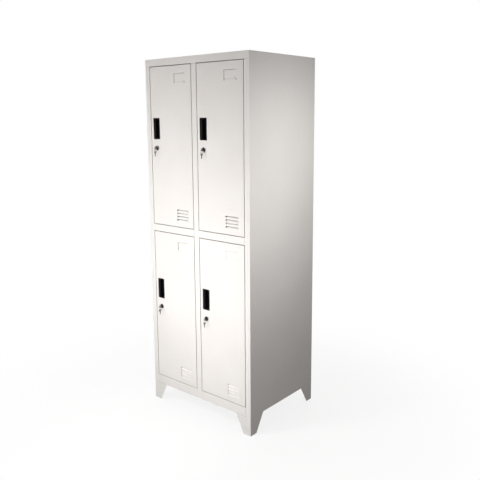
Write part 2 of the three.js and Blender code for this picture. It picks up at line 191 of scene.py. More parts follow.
# ---------- materials ----------
def powder_coat():
    """Light warm-grey powder coat: fine orange peel, faint waviness of the sheet, scuffs near the floor."""
    s = Shader("powder_coat")
    cloud = s.noise(3.5, detail=4.0)
    tone = s.ramp(cloud, (0.3, (0.800, 0.768, 0.736)), (0.7, (0.840, 0.812, 0.782)))
    speck = s.ramp(s.noise(420.0, detail=3.0), (0.66, 0.0), (0.74, 1.0))
    tone = s.mix(s.math("MULTIPLY", speck, 0.10), tone, (0.60, 0.585, 0.56))
    height = s.node("ShaderNodeSeparateXYZ", Vector=s.place()).outputs["Z"]
    low = s.node(
        "ShaderNodeMapRange", {"clamp": True},
        Value=height, From_Min=0.0, From_Max=0.16, To_Min=1.0, To_Max=0.0,
    ).outputs["Result"]
    scuff = s.ramp(s.noise(38.0, detail=6.0, roughness=0.7), (0.50, 0.0), (0.72, 1.0))
    tone = s.mix(s.math("MULTIPLY", s.math("MULTIPLY", low, scuff), 0.28), tone, (0.50, 0.46, 0.42))
    # painted highlight: convex edges, found by pointiness, are lightened towards a paler grey
    edge = s.node("ShaderNodeNewGeometry").outputs["Pointiness"]
    rim = s.ramp(edge, (0.52, 0.0), (0.60, 1.0))
    tone = s.mix(s.math("MULTIPLY", rim, 0.12), tone, (0.88, 0.87, 0.85))
    # painted shade: ambient occlusion darkens the coat in door gaps, recesses, louvres and between parts
    tone = s.crevice_shaded(tone, 0.007, 0.92, (0.06, 0.055, 0.05), full_shade=0.15, unshaded=0.52)
    gloss = s.ramp(s.noise(11.0, detail=5.0), (0.3, 0.44), (0.7, 0.55))
    waves = s.bump(s.noise(2.2, detail=1.0), 0.0016, 0.5)
    peel = s.bump(s.noise(900.0, detail=2.0), 0.00003, 0.6, normal=waves)
    return s.finish(Base_Color=tone, Roughness=gloss, Normal=peel)


def black_plastic():
    """Moulded black ABS with a fine spark-eroded grain and patches of rubbed gloss."""
    s = Shader("black_plastic")
    tone = s.ramp(s.noise(60.0, detail=4.0), (0.3, (0.004, 0.004, 0.005)), (0.7, (0.009, 0.009, 0.010)))
    gloss = s.ramp(s.noise(90.0, detail=3.0), (0.3, 0.30), (0.7, 0.42))
    grain = s.bump(s.noise(2600.0, detail=2.0), 0.00002, 0.7)
    s.surface.inputs["Specular IOR Level"].default_value = 0.3
    return s.finish(Base_Color=tone, Roughness=gloss, Normal=grain)


def chrome():
    s = Shader("chrome_lock")
    smudge = s.noise(240.0, detail=5.0)
    tone = s.ramp(smudge, (0.3, (0.52, 0.52, 0.53)), (0.7, (0.72, 0.72, 0.73)))
    # painted shade: ambient occlusion darkens the chrome in its hollows and where it meets other parts
    tone = s.crevice_shaded(tone, 0.006, 0.9, (0.05, 0.05, 0.05), full_shade=0.35, unshaded=0.8)
    gloss = s.ramp(smudge, (0.35, 0.10), (0.75, 0.24))
    fine = s.bump(s.noise(1500.0, detail=3.0), 0.00001, 0.3)
    return s.finish(Base_Color=tone, Metallic=1.0, Roughness=gloss, Normal=fine)


def zinc_steel():
    """Bright zinc plate: cloudy passivation over a lightly drawn surface."""
    s = Shader("zinc_steel")
    cloud = s.noise(75.0, detail=5.0, roughness=0.6)
    tone = s.ramp(cloud, (0.3, (0.40, 0.405, 0.41)), (0.7, (0.58, 0.58, 0.575)))
    gloss = s.ramp(s.noise(130.0, detail=4.0), (0.3, 0.28), (0.7, 0.46))
    drawn = s.bump(s.noise(1.0, detail=3.0, vector=s.stretched((60.0, 2500.0, 2500.0))), 0.00001, 0.5)
    return s.finish(Base_Color=tone, Metallic=1.0, Roughness=gloss, Normal=drawn)


def nickel_key():
    """Dull nickel-plated stamped steel, brushed along the key, with handling marks."""
    s = Shader("nickel_key")
    wear = s.noise(320.0, detail=5.0)
    tone = s.ramp(wear, (0.3, (0.20, 0.195, 0.18)), (0.7, (0.34, 0.33, 0.31)))
    # painted shade: ambient occlusion darkens the keys where they lie close to other parts
    tone = s.crevice_shaded(tone, 0.006, 0.8, (0.06, 0.055, 0.05), full_shade=0.35, unshaded=0.85)
    gloss = s.ramp(wear, (0.3, 0.22), (0.7, 0.40))
    brushed = s.bump(s.noise(1.0, detail=3.0, vector=s.stretched((3000.0, 250.0, 3000.0))), 0.00001, 0.6)
    return s.finish(Base_Color=tone, Metallic=1.0, Roughness=gloss, Normal=brushed)


def buffer_rubber():
    s = Shader("buffer_rubber")
    tone = s.ramp(s.noise(500.0, detail=3.0), (0.3, (0.12, 0.12, 0.12)), (0.7, (0.17, 0.17, 0.165)))
    grain = s.bump(s.noise(1800.0, detail=2.0), 0.00003, 0.6)
    return s.finish(Base_Color=tone, Roughness=0.75, Normal=grain)


# ---------- studio ----------
AMBIENT_UP = 0.22
AMBIENT_DOWN = 0.12
Light = namedtuple("Light", "name place aim size watts spread shines", defaults=(180, False))
LIGHTS = (  # the one that shines is seen in glossy surfaces
    Light("high_left", (-1.4, -2.6, 3.2), (0, -0.25, 0.8), (0.8, 0.6), 23.5, shines=True),
    Light("high_middle", (-1.0, -2.2, 2.7), (-0.05, -0.25, 0.55), (0.6, 0.4), 3.0, spread=60),
    Light("high_low", (-1.0, -2.2, 2.7), (0, -0.25, 0.2), (0.6, 0.4), 1.7, spread=50),
    Light("front_near", (0.1, -1.4, 0.7), (0, -0.25, 0.7), (0.6, 0.5), 9.8),
    Light("side_wide", (1.9, -1.1, 1.5), (0.35, -0.1, 1.3), (0.9, 0.7), 2.2),
    Light("side_low", (1.6, -1.1, 0.7), (0.35, -0.1, 0.6), (0.9, 0.7), 2.1),
    Light("side_near", (1.05, -0.3, 1.2), (0.35, -0.1, 1.2), (0.5, 0.5), 2.5),
    Light("side_rear", (1.2, 0.1, 1.7), (0.35, 0.1, 1.3), (0.5, 0.5), 1.0, spread=90),
    Light("rear_fill", (-1.1, 2.6, 1.5), (-0.1, 0.28, 0.95), (1.4, 1.4), 36),
    Light("left_fill", (-2.4, 0.7, 1.2), (-0.35, 0, 0.95), (1.2, 1.4), 16),
)


def area_light(light):
    data = bpy.data.lights.new(light.name, "AREA")
    data.shape = "RECTANGLE"
    data.size, data.size_y = light.size
    data.energy = light.watts
    data.spread = math.radians(light.spread)
    lamp = bpy.data.objects.new(light.name, data)
    lamp.location = light.place
    lamp.rotation_euler = (Vector(light.aim) - Vector(light.place)).to_track_quat("-Z", "Y").to_euler()
    lamp.visible_camera = False
    lamp.visible_glossy = light.shines
    bpy.context.scene.collection.objects.link(lamp)


def make_world(scene):
    """A white background, and a softer light from all round that is dimmer from below."""
    world = bpy.data.worlds.new("studio")
    scene.world = world
    n = Nodes(world)
    direction = n.node("ShaderNodeTexCoord").outputs["Generated"]
    height = n.node("ShaderNodeSeparateXYZ", Vector=direction).outputs["Z"]
    strength = n.node(
        "ShaderNodeMapRange",
        Value=height, From_Min=-0.3, From_Max=0.3, To_Min=AMBIENT_DOWN, To_Max=AMBIENT_UP,
    ).outputs["Result"]
    light = n.tree.nodes["Background"]
    n.feed(light.inputs["Strength"], strength)
    n.feed(light.inputs["Color"], (1, 0.97, 0.95, 1))
    backdrop = n.node("ShaderNodeBackground", Strength=1.0, Color=(1, 1, 1, 1))
    seen = n.node("ShaderNodeLightPath").outputs["Is Camera Ray"]
    n.output("World Output", seen, light.outputs[0], backdrop.outputs[0])


def make_floor(scene):
    """A pale floor that takes soft shadows near the cabinet and fades into the white background."""
    far = 40.0
    mesh = bpy.data.meshes.new("floor")
    mesh.from_pydata([(-far, -far, 0), (far, -far, 0), (far, far, 0), (-far, far, 0)], [], [(0, 1, 2, 3)])
    floor = bpy.data.objects.new("floor", mesh)
    scene.collection.objects.link(floor)
    floor.visible_diffuse = False
    floor.visible_glossy = False
    s = Shader("floor")
    s.finish(Base_Color=(0.80, 0.795, 0.79, 1), Roughness=0.9)
    away = s.node("ShaderNodeVectorMath", {"operation": "LENGTH"})
    s.feed(away.inputs[0], s.place())
    fade = s.node(
        "ShaderNodeMapRange", {"interpolation_type": "SMOOTHSTEP"},
        Value=away.outputs["Value"], From_Min=0.4, From_Max=1.6, To_Min=0.84, To_Max=1.0,
    )
    white = s.node("ShaderNodeEmission", Strength=1.0)
    s.output("Material Output", fade.outputs[0], s.surface.outputs[0], white.outputs[0])
    mesh.materials.append(s.owner)


def make_studio():
    scene = bpy.context.scene
    scene.view_settings.view_transform = "Standard"
    make_world(scene)
    make_floor(scene)
    for light in LIGHTS:
        area_light(light)


# ---------- mesh building ----------
def smooth(t):
    """Eases from 0 to 1 as t goes from 0 to 1."""
    t = min(max(t, 0.0), 1.0)
    return t * t * (3 - 2 * t)


def steps(low, high, count):
    """count + 1 values from low to high."""
    return [low + (high - low) * i / count for i in range(count + 1)]


def quarter_turn(count=BEND_STEPS):
    return steps(0, math.pi / 2, count)


def filled(lines):
    """The lines in order, with more between those that lie far apart."""
    ordered = sorted(set(round(line, 7) for line in lines))
    dense = [ordered[0]]
    for near, far in zip(ordered, ordered[1:]):
        dense += steps(near, far, max(1, math.ceil((far - near) / GRID)))[1:]
    return dense


class Skin:
    """Faces gathered from corner points. Corners in one place share a vertex."""

    def __init__(self):
        self.places = {}
        self.faces = []

    def face(self, *corners):
        loop = []
        for corner in corners:
            index = self.places.setdefault(tuple(round(c, 7) for c in corner), len(self.places))
            if index not in loop:
                loop.append(index)
        if len(loop) > 2:
            self.faces.append(loop)

    def bridge(self, rows, ring=False):
        """Joins each row of points to the next. A ring's rows close on themselves."""
        for near, far in zip(rows, rows[1:]):
            pairs = list(zip(near, far))
            if ring:
                pairs.append(pairs[0])
            for (a, b), (c, d) in zip(pairs, pairs[1:]):
                self.face(a, b, d, c)

    def loft(self, rings):
        """A closed body through rings of points, with flat ends."""
        self.bridge(rings, ring=True)
        self.face(*rings[0])
        self.face(*rings[-1])
        return self

    def mesh(self, name, outward=None):
        """outward is the direction that an open sheet's first face looks in."""
        data = bpy.data.meshes.new(name)
        data.from_pydata(list(self.places), [], self.faces)
        work = bmesh.new()
        work.from_mesh(data)
        bmesh.ops.remove_doubles(work, verts=work.verts, dist=0.5e-6)
        bmesh.ops.recalc_face_normals(work, faces=work.faces)
        work.faces.ensure_lookup_table()
        if outward is not None and work.faces[0].normal.dot(outward) < 0:
            bmesh.ops.reverse_faces(work, faces=work.faces)
        work.to_mesh(data)
        work.free()
        return data


def bake(made):
    """Turns the object's modifiers into its mesh."""
    graph = bpy.context.evaluated_depsgraph_get()
    mesh = bpy.data.meshes.new_from_object(
        made.evaluated_get(graph), preserve_all_data_layers=True, depsgraph=graph,
    )
    made.modifiers.clear()
    made.data = mesh


def body(name, skin, outward=None, sheet=0.0, centred=False):
    """An object from a skin. A sheet is thickened inwards from its outer face, or both ways if centred."""
    made = bpy.data.objects.new(name, skin.mesh(name, outward))
    bpy.context.scene.collection.objects.link(made)
    if sheet:
        thicken = made.modifiers.new("sheet", "SOLIDIFY")
        thicken.thickness = sheet
        thicken.offset = 0 if centred else -1
        thicken.use_even_offset = True
        bake(made)
    return made


def prism(name, ring, shift):
    """A closed body between a ring of points and the same ring moved by shift."""
    return body(name, Skin().loft([ring, [p + shift for p in ring]]))


def carve(made, *cutters):
    """Cuts the cutters out of the object and removes them."""
    for cutter in cutters:
        step = made.modifiers.new("carve", "BOOLEAN")
        step.operation = "DIFFERENCE"
        step.solver = "EXACT"
        step.object = cutter
    bake(made)
    for cutter in cutters:
        bpy.data.objects.remove(cutter)
    return made


def joined(made, *others):
    """Puts the other objects' meshes into the first one's."""
    work = bmesh.new()
    for each in (made, *others):
        work.from_mesh(each.data)
    work.to_mesh(made.data)
    work.free()
    for other in others:
        bpy.data.objects.remove(other)
    return made


def settle(made, like, replaced=(), look=None, bevel=0.0):
    """Finishes a piece: eased edges, tidy shading, and the body and finish of the CAD node it is like."""
    if bevel:
        ease = made.modifiers.new("bevel", "BEVEL")
        ease.width = bevel
        ease.segments = 2
        ease.limit_method = "ANGLE"
        ease.angle_limit = SMOOTH_ANGLE
        bake(made)
    made.data.shade_smooth()
    made.data.set_sharp_from_angle(angle=SMOOTH_ANGLE)
    weight = made.modifiers.new("weight", "WEIGHTED_NORMAL")
    weight.keep_sharp = True
    bake(made)
    look = look or SLOT[like]
    made.data.materials.clear()
    made.data.materials.append(LOOKS[look])
    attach(made, HOME[like])
    if replaced:
        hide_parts(*replaced)
    return made


def refine(node, made, bevel=0.0):
    """The finished piece that is shown in place of one CAD node."""
    return settle(made, node, replaced=(node,), bevel=bevel)


def rounded(points, radius):
    """An open run of 2-D points with each corner turned into an arc."""
    run = [Vector(points[0])]
    for before, corner, after in zip(points, points[1:], points[2:]):
        corner = Vector(corner)
        back = (Vector(before) - corner).normalized()
        on = (Vector(after) - corner).normalized()
        opening = back.angle(on)
        centre = corner + (back + on).normalized() * (radius / math.sin(opening / 2))
        reach = radius / math.tan(opening / 2)
        spokes = corner + back * reach - centre, corner + on * reach - centre
        sweep = math.pi - opening
        for t in steps(0, 1, BEND_STEPS):
            shares = math.sin((1 - t) * sweep) / math.sin(sweep), math.sin(t * sweep) / math.sin(sweep)
            run.append(centre + spokes[0] * shares[0] + spokes[1] * shares[1])
    return run + [Vector(points[-1])]


def folded(name, middle, heights):
    """Sheet of one section, upright: middle is the section's middle line of (x, y) points."""
    run = rounded(middle, BEND - SHEET / 2)
    skin = Skin()
    skin.bridge([[(p.x, p.y, z) for p in run] for z in filled(heights)])
    return body(name, skin, sheet=SHEET, centred=True)


def circle(radius, count):
    """(a, b) places round a circle."""
    angles = [math.tau * i / count for i in range(count)]
    return [(radius * math.cos(a), radius * math.sin(a)) for a in angles]


def turned(name, centre, axis, profile, count=48):
    """A closed (radius, height) profile turned round an axis. A radius of 0 makes a flat end's centre."""
    across = axis.orthogonal().normalized()
    over = axis.cross(across)
    rings = [
        [centre + across * c + over * s + axis * height for c, s in circle(max(radius, 1e-9), count)]
        for radius, height in profile
    ]
    skin = Skin()
    skin.bridge(rings, ring=True)
    if profile[0][0] > 0:
        skin.bridge([rings[-1], rings[0]], ring=True)
    return body(name, skin)


def rod(name, centre, axis, radius, low, high, chamfer=0.4 * MM, count=32):
    """A round bar, or with count 6 a hexagonal one, with chamfered ends."""
    profile = [(0, low), (radius - chamfer, low), (radius, low + chamfer)]
    profile += [(radius, high - chamfer), (radius - chamfer, high), (0, high)]
    return turned(name, centre, axis, profile, count)


def rectangle(half_a, half_b, radius, count=5):
    """(a, b) places round a rectangle with round corners, centred on 0."""
    places = []
    for quarter, (sign_a, sign_b) in enumerate(((1, 1), (-1, 1), (-1, -1), (1, -1))):
        for t in steps(0, 1, count):
            angle = (quarter + t) * math.pi / 2
            a = sign_a * (half_a - radius) + radius * math.cos(angle)
            b = sign_b * (half_b - radius) + radius * math.sin(angle)
            places.append((a, b))
    return places


# ---------- folded sheets ----------
Fold = namedtuple("Fold", "depth lip start end", defaults=(0.0, None, None))
Place = namedtuple("Place", "origin u v inward")


def fold_rows(fold, lipped, bend):
    """(outwards, inwards) steps from the flat's edge round the bend, down the wall and along the lip."""
    rows = [(bend * math.sin(t), bend * (1 - math.cos(t))) for t in quarter_turn()]
    rows.append((bend, fold.depth - bend))
    if not lipped:
        return rows + [(bend, fold.depth)]
    rows += [(bend * math.cos(t), fold.depth - bend + bend * math.sin(t)) for t in quarter_turn()[1:]]
    return rows + [(bend - fold.lip, fold.depth)]


def pan(
    name, place, u_span, v_span, folds, u_lines=(), v_lines=(),
    press=None, keep=None, closed=False, bend=BEND,
):
    """One sheet with sides folded inwards: folds gives a Fold for any of u0, u1, v0 and v1.

    press(u, v) is how far the flat is pushed in, and keep(u, v) says where it has material. A closed pan's
    corners are welded and ground round."""
    u0, u1 = u_span[0] + bend * ("u0" in folds), u_span[1] - bend * ("u1" in folds)
    v0, v1 = v_span[0] + bend * ("v0" in folds), v_span[1] - bend * ("v1" in folds)
    ends = {"u": [], "v": []}
    for side, fold in folds.items():
        ends["v" if side[0] == "u" else "u"] += [e for e in (fold.start, fold.end) if e is not None]
    us = [u for u in filled([u0, u1, *u_lines, *ends["u"]]) if u0 - 1e-7 <= u <= u1 + 1e-7]
    vs = [v for v in filled([v0, v1, *v_lines, *ends["v"]]) if v0 - 1e-7 <= v <= v1 + 1e-7]

    def at(u, v, inward):
        return place.origin + place.u * u + place.v * v + place.inward * inward

    skin = Skin()
    grid = [[at(u, v, press(u, v) if press else 0.0) for v in vs] for u in us]
    for i in range(len(us) - 1):
        for j in range(len(vs) - 1):
            if keep is None or keep((us[i] + us[i + 1]) / 2, (vs[j] + vs[j + 1]) / 2):
                skin.face(grid[i][j], grid[i + 1][j], grid[i + 1][j + 1], grid[i][j + 1])

    edge = {"u0": (u0, -1), "u1": (u1, 1), "v0": (v0, -1), "v1": (v1, 1)}
    for side, fold in folds.items():
        line, sign = edge[side]
        along = vs if side[0] == "u" else us
        start = along[0] if fold.start is None else fold.start
        end = along[-1] if fold.end is None else fold.end
        run = [s for s in along if start - 1e-6 <= s <= end + 1e-6]
        rows = []
        for outwards, inwards in fold_rows(fold, fold.lip > 0, bend):
            moved = line + sign * outwards
            rows.append([at(moved, s, inwards) if side[0] == "u" else at(s, moved, inwards) for s in run])
        skin.bridge(rows)

    if closed:
        for u_side, v_side in (("u0", "v0"), ("u0", "v1"), ("u1", "v0"), ("u1", "v1")):
            (u, u_sign), (v, v_sign) = edge[u_side], edge[v_side]
            rows = [
                [
                    at(u + u_sign * outwards * math.cos(t), v + v_sign * outwards * math.sin(t), inwards)
                    for t in quarter_turn()
                ]
                for outwards, inwards in fold_rows(folds[v_side], False, bend)
            ]
            skin.bridge(rows)
    return body(name, skin, outward=-place.inward, sheet=SHEET)


# ---------- carcass ----------
SIDE_FLANGE = 14 * MM  # front and rear returns of the side panels
SIDE_BEND = 2.4 * MM
TRAY_FLANGE = 15 * MM
RAIL_LIP = 12 * MM
STILE_LIP = 9 * MM
HINGE_HOLE_R = 2.2 * MM
COAT_ROD_WALL = 1 * MM
CUP = {"flange": 5 * MM, "deep": 6 * MM, "wall": 1.2 * MM, "clearance": 0.2 * MM}


def side_panel(side):
    """Wraps the corner at the front and at the rear."""
    node = f"{side}_side_panel"
    low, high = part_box(node)
    sign = SIDES[side]
    outer = high.x if sign > 0 else low.x
    place = Place(Vector((outer, 0, 0)), Y, Z, X * -sign)
    returns = {"u0": Fold(SIDE_FLANGE), "u1": Fold(SIDE_FLANGE)}
    refine(node, pan(node + "_shell", place, (low.y, high.y), (low.z, high.z), returns, bend=SIDE_BEND))


def side_stile(side):
    node = f"{side}_stile"
    low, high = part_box(node)
    sign, half = SIDES[side], SHEET / 2
    outer, edge = (high.x, low.x) if sign > 0 else (low.x, high.x)
    middle = [
        (outer, low.y + half),
        (edge + sign * half, low.y + half),
        (edge + sign * half, high.y - half),
        (edge + sign * STILE_LIP, high.y - half),
    ]
    refine(node, folded(node + "_channel", middle, (low.z, high.z)))


def centre_stile():
    node = "centre_stile"
    low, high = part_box(node)
    half = SHEET / 2
    wall, front, rear = high.x - half, low.y + half, high.y - half
    right = [(wall, front), (wall, rear), (high.x - STILE_LIP, rear)]
    left = [(-x, y) for x, y in reversed(right)]
    refine(node, folded(node + "_channel", left + right, (low.z, high.z)))


def hinge_hole_cutters(z):
    """Cutters for both columns' hinge rods through a rail near height z."""
    cutters = []
    for column in SIDES:
        low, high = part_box(f"upper_{column}_hinge_rod")
        middle = (low + high) / 2
        middle.z = z
        cutters.append(rod("cutter", middle, Z, HINGE_HOLE_R, -3 * MM, 3 * MM))
    return cutters


def flange(start, end, inward):
    """A flange welded under the top's edge: a sheet hanging from the line start-end."""
    drop = -Z * (TRAY_FLANGE - SHEET)
    skin = Skin()
    skin.bridge([[start, end], [start + drop, end + drop]])
    return body("flange", skin, outward=-inward, sheet=SHEET)


def top_panel():
    node = "top_panel"
    low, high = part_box(node)
    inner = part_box("back_panel")[1].x
    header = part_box("right_stile")[1].x
    place = Place(Vector((0, 0, high.z)), X, Y, -Z)
    folds = {"v0": Fold(high.z - low.z, RAIL_LIP, -header, header)}
    made = pan(node + "_shell", place, (low.x, high.x), (low.y, high.y), folds)
    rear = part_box("bottom_panel")[1].y
    under = high.z - SHEET
    first = low.y + RAIL_LIP + 2 * SHEET
    strips = []
    for sign in SIDES.values():
        start, end = Vector((sign * inner, first, under)), Vector((sign * inner, rear, under))
        strips.append(flange(start, end, X * -sign))
    refine(node, carve(joined(made, *strips), *hinge_hole_cutters(low.z)))


def tray(node, u_span, front_span, notches, depth):
    """A compartment floor: its front folds down as a rail with a lip, its other sides as short flanges.

    The floor is cut back at the stiles: it has material at x, in front of them, only within front_span."""
    low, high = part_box(node)
    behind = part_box("right_stile")[1].y + FREE
    place = Place(Vector((0, 0, high.z)), X, Y, -Z)
    folds = {
        "v0": Fold(depth, RAIL_LIP, *front_span),
        "v1": Fold(TRAY_FLANGE, 0, u_span[0] + BEND, u_span[1] - BEND),
        "u0": Fold(TRAY_FLANGE, 0, behind + BEND),
        "u1": Fold(TRAY_FLANGE, 0, behind + BEND),
    }

    def keep(x, y):
        return y > behind or front_span[0] < x < front_span[1]

    made = pan(
        node + "_shell", place, u_span, (low.y, high.y), folds,
        u_lines=notches, v_lines=(behind,), keep=keep,
    )
    return refine(node, carve(made, *hinge_hole_cutters(high.z), *hinge_hole_cutters(low.z)))


def bottom_panel():
    low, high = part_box("bottom_panel")
    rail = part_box("right_stile")[0].x - FREE
    tray("bottom_panel", (low.x, high.x), (-rail, rail), (-rail, rail), high.z - low.z)


def shelf(side):
    node = f"{side}_shelf"
    low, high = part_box(node)
    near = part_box("centre_stile")[1].x + FREE
    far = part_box("right_stile")[0].x - FREE
    span = (near, far) if side == "right" else (-far, -near)
    tray(node, (low.x, high.x), span, span, high.z - low.z)


def back_panel():
    """A plain flat sheet."""
    node = "back_panel"
    low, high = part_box(node)
    place = Place(Vector((0, high.y, 0)), X, Z, -Y)
    refine(node, pan(node + "_sheet", place, (low.x, high.x), (low.z, high.z), {}))


def centre_partition():
    node = "centre_partition"
    low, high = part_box(node)
    skin = Skin()
    skin.bridge([[(0, y, z) for y in filled((low.y, high.y))] for z in filled((low.z, high.z))])
    refine(node, body(node + "_sheet", skin, sheet=SHEET, centred=True))


LEG_SHEET = 1.5 * MM
LEG_BEND = 3 * MM
PLATE_CORNER = 6 * MM
FOOT_BLUNT = 1 * MM  # width left at the foot plate's two sharp corners
BOLT_SHARES = ((0.32, 0.7), (0.7, 0.32))  # of the leg's widths at the top, from its corner
LEG_FOOT = {"face": 44 * MM, "flank": 45 * MM}  # widths at the floor; the CAD node's are those at the top
SCREW_FROM_CORNER = 70 * MM
SCREW_BELOW_TOP = 12 * MM
SCREW_R = 4.2 * MM
SCREW_PROUD = 1.6 * MM
RECESS_ARM = (1.9 * MM, 0.45 * MM, 0.2 * MM, 1)  # half length and width, corner radius, corner steps
BOLT_R = 5.8 * MM
BOLT_HEAD = 4 * MM


def leg(node, side, end):
    """A tapering angle of thick sheet, with a plate bolted up to the carcass and a plate to stand on."""
    low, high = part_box(node)
    corner = Vector((high.x if side > 0 else low.x, high.y if end > 0 else low.y, 0))
    place = Place(corner, X * -side, Y * -end, Z)
    top = Vector((high.x - low.x, high.y - low.y, 0))

    def across(height):
        """The angle's plan at one height: in along the face, round the corner, back along the flank."""
        share = height / high.z
        face = LEG_FOOT["face"] + (top.x - LEG_FOOT["face"]) * share
        flank = LEG_FOOT["flank"] + (top.y - LEG_FOOT["flank"]) * share
        run = [Vector((LEG_BEND + (face - LEG_BEND) * t, 0)) for t in steps(1, 0, 4)]
        run += [Vector((1 - math.sin(t), 1 - math.cos(t))) * LEG_BEND for t in quarter_turn()]
        run += [Vector((0, LEG_BEND + (flank - LEG_BEND) * t)) for t in steps(0, 1, 4)]
        return [place.origin + place.u * p.x + place.v * p.y + Z * height for p in run]

    skin = Skin()
    skin.bridge([across(height) for height in steps(0, high.z, 6)])
    made = body(node + "_angle", skin, outward=Vector((0, end, 0)), sheet=LEG_SHEET)

    def flat(outline, z):
        ring = [corner + place.u * (LEG_SHEET + a) + place.v * (LEG_SHEET + b) + Z * z for a, b in outline]
        return prism("plate", ring, Z * LEG_SHEET)

    half = Vector((top.x / 2 - LEG_SHEET, top.y / 2 - LEG_SHEET))
    bolting = [(half.x + a, half.y + b) for a, b in rectangle(half.x, half.y, PLATE_CORNER)]
    foot_x, foot_y = LEG_FOOT["face"] - 3 * LEG_SHEET, LEG_FOOT["flank"] - 3 * LEG_SHEET
    foot = [(0, 0), (foot_x, 0), (foot_x, FOOT_BLUNT), (FOOT_BLUNT, foot_y), (0, foot_y)]
    refine(node, joined(made, flat(bolting, high.z - LEG_SHEET), flat(foot, 0)))
    bolts = []
    for a, b in BOLT_SHARES:
        head = corner + place.u * (a * top.x) + place.v * (b * top.y) + Z * (high.z - LEG_SHEET)
        bolts.append(rod("bolt", head, -Z, BOLT_R, 0, BOLT_HEAD, count=6))
    settle(joined(*bolts), node, look="zinc_steel").name = node + "_bolts"
    if end < 0:
        screw = pan_head(corner + place.u * SCREW_FROM_CORNER + Z * (high.z - SCREW_BELOW_TOP), -Y)
        settle(screw, node).name = node + "_screw"


def pan_head(centre, axis):
    """A low domed screw head with a cross recess, painted over with the cabinet."""
    dome = [(SCREW_R * math.cos(t), SCREW_PROUD * math.sin(t)) for t in quarter_turn(6)]
    root = -LEG_SHEET - 2 * MM
    profile = [(0, root), (SCREW_R / 2, root), (SCREW_R / 2, 0), *dome[:-1], (0, SCREW_PROUD)]
    head = turned("screw", centre, axis, profile, count=24)
    across = axis.orthogonal().normalized()
    over = axis.cross(across)
    slots = []
    for long, short in ((across, over), (over, across)):
        start = centre + axis * SCREW_PROUD * 0.35
        ring = [start + long * a + short * b for a, b in rectangle(*RECESS_ARM)]
        slots.append(prism("slot", ring, axis * 3 * MM))
    return carve(head, *slots)


def coat_rod(node):
    """A tube held at each end in a small pressed cup."""
    low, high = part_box(node)
    centre = (low + high) / 2
    half, radius = (high.x - low.x) / 2, (high.z - low.z) / 2
    bore = radius - COAT_ROD_WALL
    tube = turned(node + "_tube", centre, X, [(bore, -half), (radius, -half), (radius, half), (bore, half)])
    refine(node, tube)
    mouth, wall, deep = radius + CUP["clearance"], CUP["wall"], CUP["deep"]
    rim = radius + CUP["flange"]
    cups = []
    for sign in SIDES.values():
        profile = [
            (mouth, 0), (rim, 0), (rim, wall), (radius + 2 * MM, wall),
            (radius + wall, wall + 1 * MM), (radius + wall, deep), (mouth, deep),
        ]
        cups.append(turned("cup", centre + X * sign * half, X * -sign, profile))
    settle(joined(*cups), node).name = node + "_cups"


# ---------- doors ----------
DOOR_LIP = 12 * MM
CARD = {"width": 76 * MM, "height": 43 * MM, "from_hinge": 41 * MM, "below_top": 39 * MM, "sunk": 2.4 * MM}
CARD_RAMP = 1.4 * MM  # run of the recess's lower and hinge-side edges
CARD_SLIT = 1.4 * MM  # width of the shear cut along its upper and far edges
CARD_HOLE = (13 * MM, 8 * MM)  # from the recess's lower corner on the hinge side
CARD_HOLE_R = 2 * MM
LUG = {"wide": 10 * MM, "tall": 7 * MM, "lean": 3.6 * MM, "thick": 0.7 * MM, "corner": 1.5 * MM}
LUG_START = (3 * MM, 5 * MM)  # a lug's lower corner, outside the recess and below it
LOUVRE = {"count": 4, "length": 80 * MM, "height": 10 * MM, "pitch": 16.5 * MM, "deep": 8.5 * MM}
LOUVRE_FROM_HINGE = 34.5 * MM
LOUVRE_ABOVE_BOTTOM = 31 * MM
LOUVRE_CUT = 0.5 * MM  # between a flap's upper edge and the sheet
LOUVRE_END = 2.5 * MM  # open gap at each end of a flap
HANDLE_LIP = 4 * MM
LOCK_BODY_R = 9 * MM


